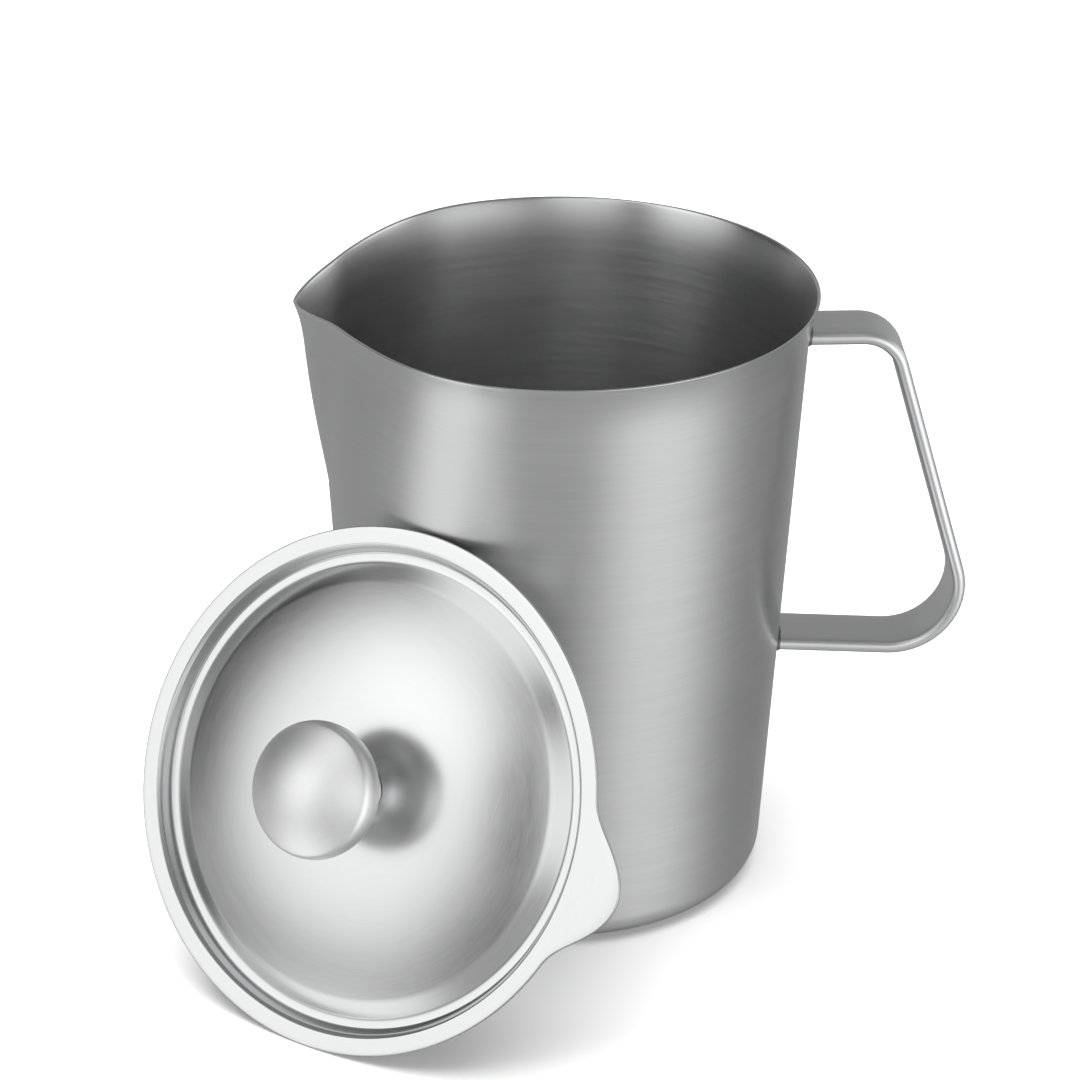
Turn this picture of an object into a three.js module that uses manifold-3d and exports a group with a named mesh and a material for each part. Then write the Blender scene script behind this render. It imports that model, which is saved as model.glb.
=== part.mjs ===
// A two litre milk frothing jug with a loose knobbed lid that leans on its front left side.
// Millimetres, +Z up. The origin is the centre of the jug's underside. The handle points along
// +X and the spout along -X.

import * as THREE from 'three';
import { mergeVertices } from 'three/addons/utils/BufferGeometryUtils.js';
import Module from 'manifold-3d';

const wasm = await Module();
wasm.setup();

const { degToRad, smoothstep } = THREE.MathUtils;

// ---------------------------------------------------------------- driving dimensions

const GAP = 0.3; // clearance between pieces that touch on the real object

const JUG = {
  height: 168,
  sheet: 0.9,
  footRadius: 55.6, // of the straight wall, carried down to the floor
  headRadius: 65.7, // of the straight wall, carried up to the rim
  cornerRadius: 8.6,
  flare: 2.0, // how far the rim turns outwards past the straight wall
  flareStart: 151,
  columns: 72,
  crowding: 0.5, // 0 spaces the columns evenly, 1 would gather them all at the spout
  spoutRows: 10,
};

const SPOUT = {
  foot: 115.5, // height at which the spout leaves the wall
  push: 7.8, // how far the spout's ridge is pressed out at the rim
  quickness: 3.6, // smaller values press the ridge out sooner above the foot
  halfAngle: degToRad(20), // of the V, at the rim
  footHalfAngle: degToRad(9), // of the V, at the foot
  tipAngle: degToRad(2.6), // rounds the V's ridge
  dip: 3, // how far the tip lies below the rim
  waist: 3.7, // how far the wall beside the V is drawn in, at the rim
  waistFade: [degToRad(30), degToRad(70)], // the draw fades out between these angles
};

const HANDLE = {
  width: 18,
  thickness: 3.5,
  upperCorner: new THREE.Vector2(87.2, 155.7),
  lowerCorner: new THREE.Vector2(114.5, 62.6),
  lowerRootHeight: 65.9,
  bendRadii: [11, 18],
  steps: 44,
};

const WELD = {
  thickness: 1.2, // from the wall side to the strap side
  overhang: 0.4, // how far the seam stands out all round the strap
};

const LID = {
  sheet: 0.8,
  flangeRadius: 67.7,
  stepRadius: 61.4, // the plug's visible inner wall, at its foot
  stepDepth: 4.1, // flange top down to the groove floor
  stepFlare: 0.8, // how much wider the step is at its top
  flangeFillet: 1.0,
  grooveFillet: 0.7,
  domeRadius: 58.7, // where the groove floor meets the dome
  domeHeight: 3.9, // of the dome's middle above the flange
  bandWidth: 4.6, // of the steeper band round the dome's foot
  bandRise: 2.3,
  capFullness: 2.6, // 2 makes the dome's cap a parabola, and more makes it flatter in the middle
  padRadius: 8.6, // of the flat seat under the knob
  holeRadius: 2.4,
  tongueReach: 10.7, // past the flange
  tongueHalfAngle: degToRad(18.9),
  columns: 64,
  crowding: 0.45,
};

const LEAN = {
  place: degToRad(234.4), // of the lid's centre round the jug, seen from above, from +X
  azimuth: degToRad(235.3), // in which the knob's axis points
  rise: degToRad(25.7), // of the knob's axis above the floor
  roll: degToRad(-95.6), // turn about the knob's axis, which brings the tongue to the right
};

const KNOB = {
  radius: 17.4,
  shoulderRadius: 16.2,
  faceRise: 4.2, // of the front face above its shoulder
  footRadius: 8.2,
  neckRadius: 6.6,
  neckHeight: 5,
  underside: new THREE.Vector2(13, 12), // where the cove meets the head, above the seat
  height: 26.5,
  columns: 40,
};

const SCREW = {
  radius: 2.0,
  length: 14, // under the head
  headRadius: 4.0,
  headHeight: 2.4,
  crossWidth: 0.9,
  crossLength: 4.4,
  crossDepth: 1.4,
  holeClearance: 0.3,
};

const FLAT_WASHER = { radius: 6.0, thickness: 0.8 };
const SPRING_WASHER = { radius: 3.7, thickness: 1.0, slot: 0.8 };

// ---------------------------------------------------------------- geometry helpers

const at = (x, y) => new THREE.Vector2(x, y);

// Points along an arc between two angles in degrees, both ends included.
function arcPoints(centre, radius, fromDegrees, toDegrees, count) {
  return Array.from({ length: count + 1 }, (_, i) => {
    const angle = degToRad(fromDegrees + ((toDegrees - fromDegrees) * i) / count);
    return at(centre.x + radius * Math.cos(angle), centre.y + radius * Math.sin(angle));
  });
}

// The same outline moved sideways, to the left of its direction of travel.
function offsetOutline(points, distance) {
  return points.map((point, i) => {
    const before = points[Math.max(i - 1, 0)];
    const after = points[Math.min(i + 1, points.length - 1)];
    const along = after.clone().sub(before).normalize();
    return at(point.x - along.y * distance, point.y + along.x * distance);
  });
}

// Positions only, with shared vertices, which is what a closed solid needs.
function weldVertices(geometry) {
  geometry.deleteAttribute('normal');
  geometry.deleteAttribute('uv');
  return mergeVertices(geometry, 1e-4);
}

// A profile of radius and height turned about +Z. reshape, if given, moves each vertex.
function turned(profile, columns, reshape) {
  const geometry = new THREE.LatheGeometry(profile, columns);
  geometry.rotateX(Math.PI / 2);
  if (reshape) {
    const positions = geometry.getAttribute('position');
    const vertex = new THREE.Vector3();
    for (let i = 0; i < positions.count; i += 1) {
      reshape(vertex.fromBufferAttribute(positions, i));
      positions.setXYZ(i, vertex.x, vertex.y, vertex.z);
    }
  }
  return weldVertices(geometry);
}

// Gathers evenly spaced columns towards -X, where the spout and the tongue are.
function crowdColumns(angle, crowding) {
  const fromSpout = angle - Math.PI;
  return Math.PI + fromSpout - crowding * Math.sin(fromSpout);
}

// The signed angle of a direction from -X, between -180 and 180 degrees.
function angleFromSpout(angle) {
  return Math.atan2(Math.sin(angle - Math.PI), Math.cos(angle - Math.PI));
}

function toSolid(geometry) {
  const welded = weldVertices(geometry.clone());
  return new wasm.Manifold(
    new wasm.Mesh({
      numProp: 3,
      vertProperties: new Float32Array(welded.getAttribute('position').array),
      triVerts: new Uint32Array(welded.index.array),
    }),
  );
}

function fromSolid(solid) {
  const { vertProperties, triVerts } = solid.getMesh();
  const geometry = new THREE.BufferGeometry();
  geometry.setAttribute('position', new THREE.BufferAttribute(vertProperties, 3));
  geometry.setIndex(new THREE.BufferAttribute(triVerts, 1));
  return geometry;
}

function piece(name, geometry, material) {
  geometry.computeVertexNormals();
  const mesh = new THREE.Mesh(geometry, material);
  mesh.name = name;
  return mesh;
}

const steel = (color, roughness) =>
  new THREE.MeshStandardMaterial({ color, roughness, metalness: 1 });

// ---------------------------------------------------------------- jug

const wallSlope = (JUG.headRadius - JUG.footRadius) / JUG.height;

// The radius of the jug's outside at a height, away from the spout.
function wallRadius(height) {
  const turn = Math.max(0, (height - JUG.flareStart) / (JUG.height - JUG.flareStart));
  return JUG.footRadius + wallSlope * height + JUG.flare * turn ** 3;
}

// 1 on the V's ridge and 0 at its feet, with both ends rounded.
function spoutShape(angle, halfAngle) {
  const softness = 0.12;
  const rounded = Math.hypot(angle, SPOUT.tipAngle) / halfAngle;
  return softness * Math.log1p(Math.exp((1 - rounded) / softness));
}

// Presses the V spout out of the round wall and draws the wall in beside it.
function pressSpout(vertex) {
  const radius = Math.hypot(vertex.x, vertex.y);
  const angle = crowdColumns(Math.atan2(vertex.y, vertex.x), JUG.crowding);
  const fromSpout = angleFromSpout(angle);
  const rise = Math.max(0, (vertex.z - SPOUT.foot) / (JUG.height - SPOUT.foot));
  const halfAngle = THREE.MathUtils.lerp(SPOUT.footHalfAngle, SPOUT.halfAngle, rise);
  const shape = spoutShape(fromSpout, halfAngle);
  const pushed = SPOUT.push * ((rise * (1 + SPOUT.quickness)) / (rise + SPOUT.quickness)) * shape;
  const [fadeStart, fadeEnd] = SPOUT.waistFade;
  const drawn = SPOUT.waist * rise ** 2 * (1 - smoothstep(Math.abs(fromSpout), fadeStart, fadeEnd));
  const reached = rise > 0 ? radius + pushed - drawn : radius;
  vertex.x = reached * Math.cos(angle);
  vertex.y = reached * Math.sin(angle);
  vertex.z -= SPOUT.dip * rise ** 2 * shape;
}

function jugBody() {
  const wallLean = THREE.MathUtils.radToDeg(Math.atan(wallSlope));
  const corner = JUG.cornerRadius;
  const cornerX = wallRadius(corner) - corner / Math.cos(degToRad(wallLean));
  const plainRows = [60, SPOUT.foot].map((height) => at(wallRadius(height), height));
  const spoutRows = Array.from({ length: JUG.spoutRows }, (_, i) => {
    const height = THREE.MathUtils.lerp(SPOUT.foot, JUG.height, (i + 1) / JUG.spoutRows);
    return at(wallRadius(height), height);
  });
  const outside = [
    at(0, 0),
    ...arcPoints(at(cornerX, corner), corner, -90, -wallLean, 4),
    ...plainRows,
    ...spoutRows,
  ];
  const inside = offsetOutline(outside, JUG.sheet);
  inside.at(-1).y = JUG.height;
  return turned([...outside, ...inside.reverse()], JUG.columns, pressSpout);
}

// A round block that follows the jug's wall at a distance, for cutting what is welded to it.
function wallBlock(distance) {
  const heights = [40, JUG.flareStart, 156, JUG.height];
  const outline = heights.map((height) => at(wallRadius(height) + distance, height));
  return toSolid(turned([at(0, heights[0]), ...outline, at(0, JUG.height)], 180));
}

// ---------------------------------------------------------------- handle

// A flat bar's section with fully rounded long edges, as wide as width along the shape's y.
function barSection(width, thickness) {
  const section = new THREE.Shape();
  const reach = (width - thickness) / 2;
  section.absarc(0, reach, thickness / 2, 0, Math.PI);
  section.absarc(0, -reach, thickness / 2, Math.PI, 2 * Math.PI);
  return section;
}

// Straight lines between corners, with each inner corner rounded by an arc.
function bentRoute(corners, radii) {
  const route = new THREE.CurvePath();
  let start = corners[0];
  radii.forEach((radius, i) => {
    const corner = corners[i + 1];
    const incoming = corner.clone().sub(corners[i]).normalize();
    const outgoing = corners[i + 2].clone().sub(corner).normalize();
    const turn = Math.atan2(incoming.cross(outgoing), incoming.dot(outgoing));
    const reach = radius * Math.tan(Math.abs(turn) / 2);
    const arcStart = corner.clone().addScaledVector(incoming, -reach);
    const towardsCentre = at(-incoming.y, incoming.x).multiplyScalar(Math.sign(turn) * radius);
    const centre = arcStart.clone().add(towardsCentre);
    const angle = Math.atan2(-towardsCentre.y, -towardsCentre.x);
    route.add(new THREE.LineCurve(start, arcStart));
    route.add(
      new THREE.EllipseCurve(centre.x, centre.y, radius, radius, angle, angle + turn, turn < 0),
    );
    start = corner.clone().addScaledVector(outgoing, reach);
  });
  route.add(new THREE.LineCurve(start, corners.at(-1)));
  return route;
}

// A route of radius and height as a curve in the XZ plane.
class UprightCurve extends THREE.Curve {
  constructor(route) {
    super();
    this.route = route;
  }

  getPoint(t) {
    const point = this.route.getPoint(t);
    return new THREE.Vector3(point.x, 0, point.y);
  }
}

function handleStrap() {
  const insideWall = JUG.footRadius - 2;
  const corners = [
    at(insideWall, HANDLE.upperCorner.y),
    HANDLE.upperCorner,
    HANDLE.lowerCorner,
    at(insideWall, HANDLE.lowerRootHeight),
  ];
  const bar = new THREE.ExtrudeGeometry(barSection(HANDLE.width, HANDLE.thickness), {
    steps: HANDLE.steps,
    curveSegments: 3,
    extrudePath: new UprightCurve(bentRoute(corners, HANDLE.bendRadii)),
  });
  const endCut = wallBlock(2 * GAP + WELD.thickness);
  return fromSolid(toSolid(bar).subtract(endCut));
}

// The seam between the wall and one end of the strap.
function handleWeld(height) {
  const section = barSection(
    HANDLE.width + 2 * WELD.overhang,
    HANDLE.thickness + 2 * WELD.overhang,
  );
  const reach = HANDLE.upperCorner.x;
  const bar = new THREE.ExtrudeGeometry(section, {
    depth: reach,
    curveSegments: 5,
    bevelEnabled: false,
  });
  bar.rotateY(Math.PI / 2);
  bar.translate(0, 0, height);
  const ring = wallBlock(GAP + WELD.thickness).subtract(wallBlock(GAP));
  return fromSolid(toSolid(bar).intersect(ring));
}

// ---------------------------------------------------------------- lid

// Stretches the flange into the tongue that covers the spout.
function drawTongue(vertex) {
  const radius = Math.hypot(vertex.x, vertex.y);
  const angle = crowdColumns(Math.atan2(vertex.y, vertex.x), LID.crowding);
  const share = Math.min(1, Math.abs(angleFromSpout(angle)) / LID.tongueHalfAngle);
  const reach = LID.tongueReach * Math.cos((Math.PI / 2) * share) ** 2;
  const flangeStart = LID.stepRadius + LID.stepFlare + LID.flangeFillet + LID.sheet;
  const across = Math.max(0, (radius - flangeStart) / (LID.flangeRadius - flangeStart));
  const reached = radius + reach * across;
  vertex.x = reached * Math.cos(angle);
  vertex.y = reached * Math.sin(angle);
}

const capRadius = LID.domeRadius - LID.bandWidth;

// The height of the dome's cap at a radius, measured from the flange's upper side.
function domeHeight(radius) {
  const rise = LID.domeHeight + LID.stepDepth - LID.bandRise;
  return LID.domeHeight - rise * (radius / capRadius) ** LID.capFullness;
}

const padHeight = domeHeight(LID.padRadius);

function lidShell() {
  const stepTopX = LID.stepRadius + LID.stepFlare;
  const groove = LID.grooveFillet;
  const fillet = LID.flangeFillet;
  const flangeStart = stepTopX + fillet + LID.sheet;
  const domeRows = 6;
  const dome = Array.from({ length: domeRows }, (_, i) => {
    const radius = THREE.MathUtils.lerp(LID.padRadius, capRadius, (i + 1) / domeRows);
    return at(radius, domeHeight(radius));
  });
  const upper = [
    at(LID.holeRadius, padHeight),
    at(LID.padRadius, padHeight),
    ...dome,
    at(LID.domeRadius, -LID.stepDepth),
    ...arcPoints(at(LID.stepRadius - groove, groove - LID.stepDepth), groove, -90, -8, 2),
    ...arcPoints(at(stepTopX + fillet, -fillet), fillet, 172, 90, 2),
    at(flangeStart, 0),
    at(LID.flangeRadius, 0),
  ];
  const under = offsetOutline(upper, -LID.sheet);
  return turned([...under, ...upper.reverse(), under[0]], LID.columns, drawTongue);
}

function lidKnob() {
  const seat = padHeight + GAP;
  const top = seat + KNOB.height;
  const shoulder = top - KNOB.faceRise;
  const faceRadius = (KNOB.shoulderRadius ** 2 + KNOB.faceRise ** 2) / (2 * KNOB.faceRise);
  const face = Array.from({ length: 4 }, (_, i) => {
    const radius = (KNOB.shoulderRadius * (4 - i)) / 4;
    return at(radius, top - faceRadius + Math.sqrt(faceRadius ** 2 - radius ** 2));
  });
  const underside = at(KNOB.underside.x, seat + KNOB.underside.y);
  const cove = new THREE.QuadraticBezierCurve(
    at(KNOB.neckRadius, seat + KNOB.neckHeight),
    at(KNOB.neckRadius, underside.y - 2.4),
    underside,
  );
  // A cubic curve bulges three quarters of the way to its control points.
  const bulge = KNOB.radius + (2 * KNOB.radius - underside.x - KNOB.shoulderRadius) / 6;
  const side = new THREE.CubicBezierCurve(
    underside,
    at(bulge, underside.y + 1.6),
    at(bulge, shoulder - 1.2),
    at(KNOB.shoulderRadius, shoulder),
  );
  const hole = SCREW.radius + SCREW.holeClearance;
  const holeTop = screwHeadTop + SCREW.length + 1;
  const profile = [
    at(0, holeTop),
    at(hole, holeTop),
    at(hole, seat),
    at(KNOB.footRadius, seat),
    at(KNOB.footRadius - 0.3, seat + 0.9),
    ...cove.getPoints(3),
    ...side.getPoints(7).slice(1),
    ...face.slice(1),
    at(0, top),
  ];
  return turned(profile, KNOB.columns);
}

// ---------------------------------------------------------------- fastening under the lid

const undersideHeight = padHeight - LID.sheet;
const flatWasherTop = undersideHeight - GAP;
const springWasherTop = flatWasherTop - FLAT_WASHER.thickness - GAP;
const screwHeadTop = springWasherTop - SPRING_WASHER.thickness - GAP;

function ring(innerRadius, outerRadius, top, thickness, columns) {
  const bottom = top - thickness;
  const corners = [
    at(innerRadius, bottom),
    at(outerRadius, bottom),
    at(outerRadius, top),
    at(innerRadius, top),
    at(innerRadius, bottom),
  ];
  return turned(corners, columns);
}

function box(width, depth, height, x, y, z) {
  const geometry = new THREE.BoxGeometry(width, depth, height);
  geometry.translate(x, y, z);
  return toSolid(geometry);
}

function flatWasher() {
  const hole = SCREW.radius + SCREW.holeClearance;
  return ring(hole, FLAT_WASHER.radius, flatWasherTop, FLAT_WASHER.thickness, 36);
}

function springWasher() {
  const { radius, thickness, slot } = SPRING_WASHER;
  const hole = SCREW.radius + SCREW.holeClearance;
  const whole = toSolid(ring(hole, radius, springWasherTop, thickness, 36));
  const cut = box(radius, slot, 3 * thickness, radius / 2 + 1, 0, springWasherTop - thickness / 2);
  return fromSolid(whole.subtract(cut));
}

function knobScrew() {
  const top = screwHeadTop;
  const bottom = top - SCREW.headHeight;
  const edge = 0.9;
  const profile = [
    at(0, bottom),
    at(SCREW.headRadius - edge, bottom),
    at(SCREW.headRadius - 0.25, bottom + 0.35),
    at(SCREW.headRadius, bottom + edge),
    at(SCREW.headRadius, top),
    at(SCREW.radius, top),
    at(SCREW.radius, top + SCREW.length - 0.5),
    at(SCREW.radius - 0.5, top + SCREW.length),
    at(0, top + SCREW.length),
  ];
  const { crossWidth, crossLength, crossDepth } = SCREW;
  const middle = bottom;
  const cross = box(crossLength, crossWidth, 2 * crossDepth, 0, 0, middle)
    .add(box(crossWidth, crossLength, 2 * crossDepth, 0, 0, middle));
  return fromSolid(toSolid(turned(profile, 32)).subtract(cross));
}

// ---------------------------------------------------------------- assembly

const jug = new THREE.Group();
jug.add(
  piece('jug_body', jugBody(), steel(0xb4b5b6, 0.32)),
  piece('handle_strap', handleStrap(), steel(0xa9abac, 0.3)),
  piece('upper_handle_weld', handleWeld(HANDLE.upperCorner.y), steel(0x9fa1a2, 0.4)),
  piece('lower_handle_weld', handleWeld(HANDLE.lowerRootHeight), steel(0x9fa1a2, 0.4)),
);

const lid = new THREE.Group();
lid.rotation.z = LEAN.roll;
lid.add(
  piece('lid_shell', lidShell(), steel(0xc2c3c4, 0.25)),
  piece('lid_knob', lidKnob(), steel(0xc6c7c8, 0.22)),
  piece('knob_screw', knobScrew(), steel(0xa4a6a8, 0.35)),
  piece('spring_washer', springWasher(), steel(0x8f9193, 0.4)),
  piece('flat_washer', flatWasher(), steel(0xb0b2b4, 0.3)),
);

// The lid's rim stands on the floor, and the lower corner of its plug rests on the jug's wall.
const lean = new THREE.Group();
const along = Math.cos(LEAN.rise);
const up = Math.sin(LEAN.rise);
const centreHeight = LID.flangeRadius * along + LID.sheet * up;
// A rounded corner falls short of the sharp one by plugRounding, towards the wall.
const plugRadius = LID.stepRadius + LID.sheet;
const plugDepth = LID.stepDepth + LID.sheet;
const plugRounding = (LID.grooveFillet + LID.sheet) * (up + along - 1);
const contactHeight = centreHeight + plugRadius * along - plugDepth * up;
const contactReach = wallRadius(contactHeight) + GAP - plugRounding;
const centreReach = contactReach + plugRadius * up + plugDepth * along;
lean.rotation.set(0, Math.PI / 2 - LEAN.rise, LEAN.azimuth, 'ZYX');
lean.position.set(
  centreReach * Math.cos(LEAN.place),
  centreReach * Math.sin(LEAN.place),
  centreHeight,
);
lean.add(lid);

const frothingJug = new THREE.Group();
frothingJug.add(jug, lean);

export default frothingJug;
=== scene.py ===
"""A two litre milk frothing jug with a loose knobbed lid, dressed in brushed steel.

Sizes in the tables are millimetres and angles are radians, unless a comment says otherwise.
Meshes are made in metres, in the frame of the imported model: +Z up, the handle along +X and the
spout along -X.
"""

import math
from math import atan, atan2, cos, hypot, pi, radians, sin, sqrt, tan
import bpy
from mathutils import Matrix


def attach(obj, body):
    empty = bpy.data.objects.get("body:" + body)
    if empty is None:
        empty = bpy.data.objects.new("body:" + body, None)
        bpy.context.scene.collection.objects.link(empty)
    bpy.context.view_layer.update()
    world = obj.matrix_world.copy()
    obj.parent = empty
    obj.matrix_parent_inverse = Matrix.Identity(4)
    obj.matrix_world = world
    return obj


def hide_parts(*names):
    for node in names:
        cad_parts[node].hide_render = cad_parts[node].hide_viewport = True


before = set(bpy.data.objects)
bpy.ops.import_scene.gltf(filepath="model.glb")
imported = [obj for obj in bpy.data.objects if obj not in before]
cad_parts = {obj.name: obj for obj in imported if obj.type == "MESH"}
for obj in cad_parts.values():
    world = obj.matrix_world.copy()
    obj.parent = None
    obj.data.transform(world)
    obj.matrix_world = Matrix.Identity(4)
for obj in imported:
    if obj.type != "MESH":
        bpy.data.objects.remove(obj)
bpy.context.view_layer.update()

from types import SimpleNamespace as Sizes

import bmesh
import bpy
from mathutils import Matrix, Vector

MM = 0.001

# ---------------------------------------------------------------- driving dimensions

GAP = 0.3  # clearance between pieces that touch on the real object
SHARP = radians(40)  # edges steeper than this are shaded as creases
ON_AXIS = 1e-6  # a smaller radius counts as a point on the axis

JUG = Sizes(
    height=168.0,
    sheet=0.9,
    foot_radius=55.6,  # of the straight wall, carried down to the floor
    head_radius=65.7,  # of the straight wall, carried up to the rim
    corner_radius=8.6,
    flare=2.0,
    flare_start=151.0,
    lip=0.32,  # rounding of the cut rim's two edges
    base_rings=(0.0, 16.0, 32.0),  # radii
    wall_rings=(20, 36, 52, 68, 84, 100),  # heights, up to the spout's foot
    corner_steps=14,
    columns=288,
    crowding=0.5,  # 0 spaces the columns evenly, 1 would gather them all at the spout
    spout_rows=44,
)

SPOUT = Sizes(
    foot=115.5,
    push=7.8,
    quickness=3.6,
    half_angle=radians(20),
    foot_half_angle=radians(9),
    tip_angle=radians(2.6),
    dip=3.0,
    waist=3.7,
    waist_fade=(radians(30), radians(70)),
    softness=0.12,  # how gently the V's feet leave the round wall
)

HANDLE = Sizes(
    width=18.0,
    thickness=3.5,
    upper_corner=Vector((87.2, 155.7)),
    lower_corner=Vector((114.5, 62.6)),
    lower_root_height=65.9,
    bend_radii=(11.0, 18.0),
    bend_steps=16,
    end_gaps=(0.6, 3.0),  # clearances of the two rings nearest the wall
    arc_steps=10,  # round each edge of the bar, and even
    flat_steps=4,
)

# The weld's outline from the wall to the strap: clearance from the wall, then overhang.
WELD_OUTLINE = ((-0.3, 0.4), (0.05, 0.4), (0.3, 0.3), (0.55, 0.12), (0.8, 0.0), (1.05, -0.1))
WELD_RIPPLE = Sizes(depth=0.04, around=2.4, outward=3)

LID = Sizes(
    sheet=0.8,
    flange_radius=67.7,
    step_radius=61.4,
    step_depth=4.1,
    step_flare=0.8,
    flange_fillet=1.0,
    chamfer_drop=0.3,  # of the wall's top below the flange's chamfered edge
    chamfer_lean=Vector((0.15, 0.05)),
    chamfer_foot_reach=0.25,
    chamfer_head_reach=0.3,
    groove_fillet=0.7,
    groove_lean=8,  # degrees short of upright where the fillet meets the wall
    dome_radius=58.7,
    dome_height=3.9,
    band_width=4.6,  # of the steeper band round the dome's foot
    band_rise=2.3,
    cap_fullness=2.6,  # 2 makes the dome's cap a parabola, and more makes it flatter in the middle
    valley=0.7,  # reach of the soft corner where the band meets the groove
    crease=0.9,  # reach of the soft corner where the band meets the dome's cap
    pad_radius=8.6,
    hole_radius=2.4,
    tongue_reach=10.7,
    tongue_half_angle=radians(18.9),
    lip=0.34,
    dome_rows=22,
    corner_rows=6,
    straight_rows=4,
    columns=320,
    crowding=0.45,
)

LEAN = Sizes(
    place=radians(234.4),
    azimuth=radians(235.3),
    rise=radians(25.7),
    roll=radians(-95.6),
)

KNOB = Sizes(
    radius=17.4,
    shoulder_radius=16.2,
    face_rise=4.2,
    foot_radius=8.2,
    neck_radius=6.6,
    neck_height=5.0,
    foot_bead=((-0.25, 0.0), (0.0, 0.25), (-0.1, 0.7), (-0.45, 1.1)),  # from the foot's edge
    neck_foot=(0.4, 2.2),  # from the neck's wall and the seat
    underside=Vector((13.0, 12.0)),
    underside_pull=2.4,
    side_pulls=(1.6, 1.2),  # above the underside and below the shoulder
    height=26.5,
    cove_rows=10,
    side_rows=18,
    face_rows=14,
    columns=128,
)

SCREW = Sizes(
    radius=2.0,
    length=14.0,
    head_radius=4.0,
    head_height=2.4,
    head_round=1.1,
    head_bevel=0.15,
    tip_bevel=0.5,
    cross_width=0.9,
    cross_length=4.4,
    cross_depth=1.4,
    cross_mouth=Sizes(share=1.15, proud=0.5),  # the recess's open end, past the head
    cross_floor_share=0.55,
    cross_steady=0.4,  # share of the recess's width that doesn't taper
    clearance=0.3,
    hole_spare=1.0,  # of the knob's hole, beyond the screw's tip
    head_rows=8,
    columns=72,
)

FLAT_WASHER = Sizes(radius=6.0, thickness=0.8, bevel=0.15, columns=96)
SPRING_WASHER = Sizes(radius=3.7, thickness=1.0, slot=0.8, bevel=0.12, steps=84)

# Stray scratches show where their noise passes the threshold. Rubbed edges are polished least
# where the clouding is low.
SCRATCH = Sizes(threshold=(0.76, 0.84), tone=0.1, spread=0.08)
EDGE_WEAR = Sizes(clouds=(0.35, 0.6), least=0.55)
RELIEF = Sizes(fine=0.55, coarse=0.45, scratch=0.8, height=0.00004)  # height in metres

CAMERA = Sizes(
    place=Vector((-51.26, -916.82, 541.64)),
    heading=radians(2.85),  # clockwise from +Y, seen from above
    pitch=radians(25.97),  # downwards
    roll=radians(0.33),
    lens=125.7,
)

TOWARDS_CAMERA = radians(-93.2)  # azimuth, from +X

# Brightness behind and in front of the jug, and how much of it is lost towards the top. turn
# and top are the cosines and heights between which each changes.
SURROUND = Sizes(back=0.42, front=0.48, turn=(-0.9, 0.2), top_drop=0.2, top=(0.3, 0.8))

# Each row gives a panel's azimuth and elevation, the angles from its middle within which it is
# full and beyond which it adds nothing, all in degrees, and then its brightness above the
# surround. A negative brightness makes a dark flag. Azimuth 0 is towards the camera.
PANELS = (
    (-61, 17, 6, 30, 0.98),
    (-58, 32, 4, 17, 0.35),
    (-36, 21, 3, 11, -0.5),
    (-38, 6, 4, 14, -0.3),
    (-56, -36, 6, 30, 0.85),
    (48, -3, 10, 44, 1.05),
    (105, 16, 7, 22, 0.9),
    (-10, 26, 8, 24, 0.9),
    (-52, 62, 10, 26, 1.0),
    (-104, 16, 12, 30, -0.33),
    (122, -25, 8, 32, -0.14),
    (180, -58, 10, 34, -0.3),
)

# Degrees, metres and watts.
OVERHEAD = Sizes(azimuth=90, elevation=88, aim_height=0.08, distance=2.6, side=3.4, power=165)

PAPER = Sizes(
    inner_ring=900,
    floor_radius=7000,
    sweep=3000,
    wall_top=7000,
    sweep_rows=16,
    columns=96,
    tone=(0.86, 0.88),
)

# ---------------------------------------------------------------- outline helpers


def blend(low, high, share):
    return low + (high - low) * share


def smooth_step(value, low, high):
    share = min(1.0, max(0.0, (value - low) / (high - low)))
    return share * share * (3 - 2 * share)


def arc(centre, radius, start, end, count):
    """Points of an arc between two angles in degrees."""
    points = []
    for step in range(count + 1):
        angle = radians(blend(start, end, step / count))
        points.append(Vector((centre[0] + radius * cos(angle), centre[1] + radius * sin(angle))))
    return points


def bezier(controls, count):
    """Points of a Bezier curve of any degree, by repeated blending of its controls."""
    points = []
    for step in range(count + 1):
        layer = [Vector(control) for control in controls]
        while len(layer) > 1:
            layer = [a.lerp(b, step / count) for a, b in zip(layer, layer[1:])]
        points.append(layer[0])
    return points


def offset(points, distance):
    """The same outline moved sideways, to the left of its direction of travel."""
    moved = []
    for i, point in enumerate(points):
        along = (points[min(i + 1, len(points) - 1)] - points[max(i - 1, 0)]).normalized()
        moved.append(Vector((point.x - along.y * distance, point.y + along.x * distance)))
    return moved


def rounded_corner(before, corner, after, reach, count=4):
    """A curve that replaces a corner, starting and ending at reach from it."""
    start = corner + (before - corner).normalized() * reach
    end = corner + (after - corner).normalized() * reach
    return bezier((start, corner, end), count)


def crowd_column(angle, crowding):
    """Gathers evenly spaced columns towards -X, where the spout and the tongue are."""
    return angle - crowding * sin(angle - pi)


def from_spout(angle):
    """The signed angle of a direction from -X."""
    return atan2(sin(angle - pi), cos(angle - pi))


# ---------------------------------------------------------------- mesh helpers


def turned(profile, columns, crowding=0.0, reshape=None):
    """Turns a profile of radius and height about Z, into points and faces.

    A profile that starts and ends on the axis is closed by poles there. Any other profile is
    taken as a closed loop.
    """
    points = []
    rings = []
    for radius, height in profile:
        if radius < ON_AXIS:
            rings.append([len(points)] * columns)
            points.append(Vector((0, 0, height)))
            continue
        rings.append(range(len(points), len(points) + columns))
        for column in range(columns):
            angle = crowd_column(2 * pi * column / columns, crowding)
            reached, lifted = reshape(radius, height, angle) if reshape else (radius, height)
            points.append(Vector((reached * cos(angle), reached * sin(angle), lifted)))
    return points, tube_faces(rings, is_loop=profile[0][0] > ON_AXIS)


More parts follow.
